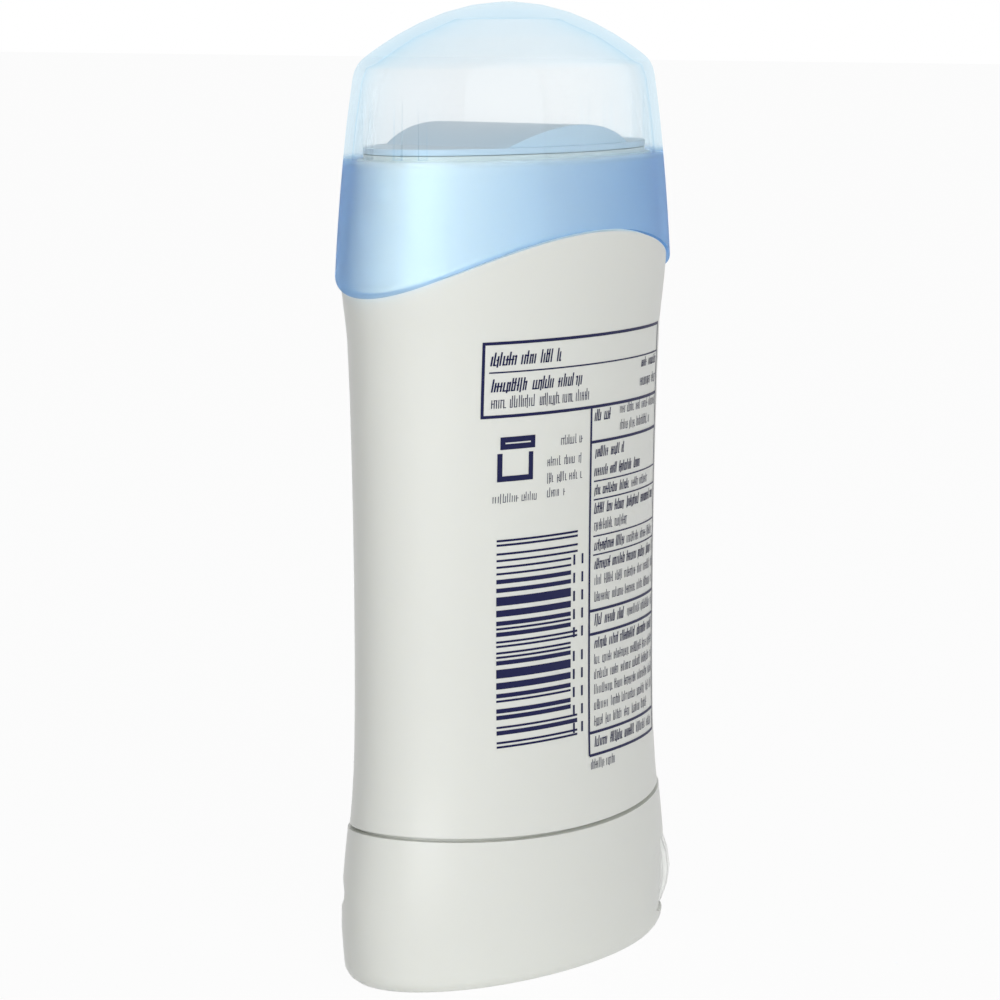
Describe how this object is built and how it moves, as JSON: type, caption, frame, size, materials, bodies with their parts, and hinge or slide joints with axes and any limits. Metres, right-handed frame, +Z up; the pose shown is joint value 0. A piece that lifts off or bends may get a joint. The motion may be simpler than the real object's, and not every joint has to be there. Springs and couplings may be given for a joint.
{
  "type": "deodorant stick",
  "caption": "Closed twist-up deodorant stick with an oval waisted barrel, a domed translucent cap, a base with a toothed thumb wheel, and a screw-driven product inside.",
  "frame": {"origin": "the screw's axis at the level of the foot's underside", "axes": "+Z up along the screw, +X along the oval's long axis towards the thumb wheel, -Y out of the label face"},
  "size_m": [0.0649, 0.0324, 0.1324],
  "materials": {
    "white_housing": "glossy",
    "white_wheel": "satin",
    "natural_plastic": "satin",
    "wax": "waxy",
    "seal_plastic": "satin",
    "blue_translucent": "glossy, translucent"
  },
  "bodies": {
    "case": {"barrel": "white_housing", "base_cover": "white_housing"},
    "cap": {"cap": "blue_translucent"},
    "thumb_wheel": {"thumb_wheel": "white_wheel"},
    "lift_screw": {"lift_screw": "natural_plastic"},
    "carriage": {"elevator": "natural_plastic", "product_stick": "wax", "inner_seal": "seal_plastic"}
  },
  "joints": [
    {"name": "cap_lift", "type": "slide", "parent": "case", "child": "cap", "axis": [0, 0, 1], "range_m": [0, 0.045]},
    {"name": "wheel_spin", "type": "hinge", "parent": "case", "child": "thumb_wheel", "pos_m": [0.0231, 0, 0.0075], "axis": [0, 0, 1], "range_deg": [0, 935]},
    {"name": "screw_spin", "type": "hinge", "parent": "case", "child": "lift_screw", "pos_m": [0, 0, 0.0075], "axis": [0, 0, 1], "range_deg": [-631, 0]},
    {"name": "carriage_lift", "type": "slide", "parent": "case", "child": "carriage", "axis": [0, 0, 1], "range_m": [0, 0.007]}
  ],
  "couplings": [
    {"joint": "screw_spin", "follows": "carriage_lift", "rad_per_m": -1570.8},
    {"joint": "wheel_spin", "follows": "carriage_lift", "rad_per_m": 2330.9}
  ]
}
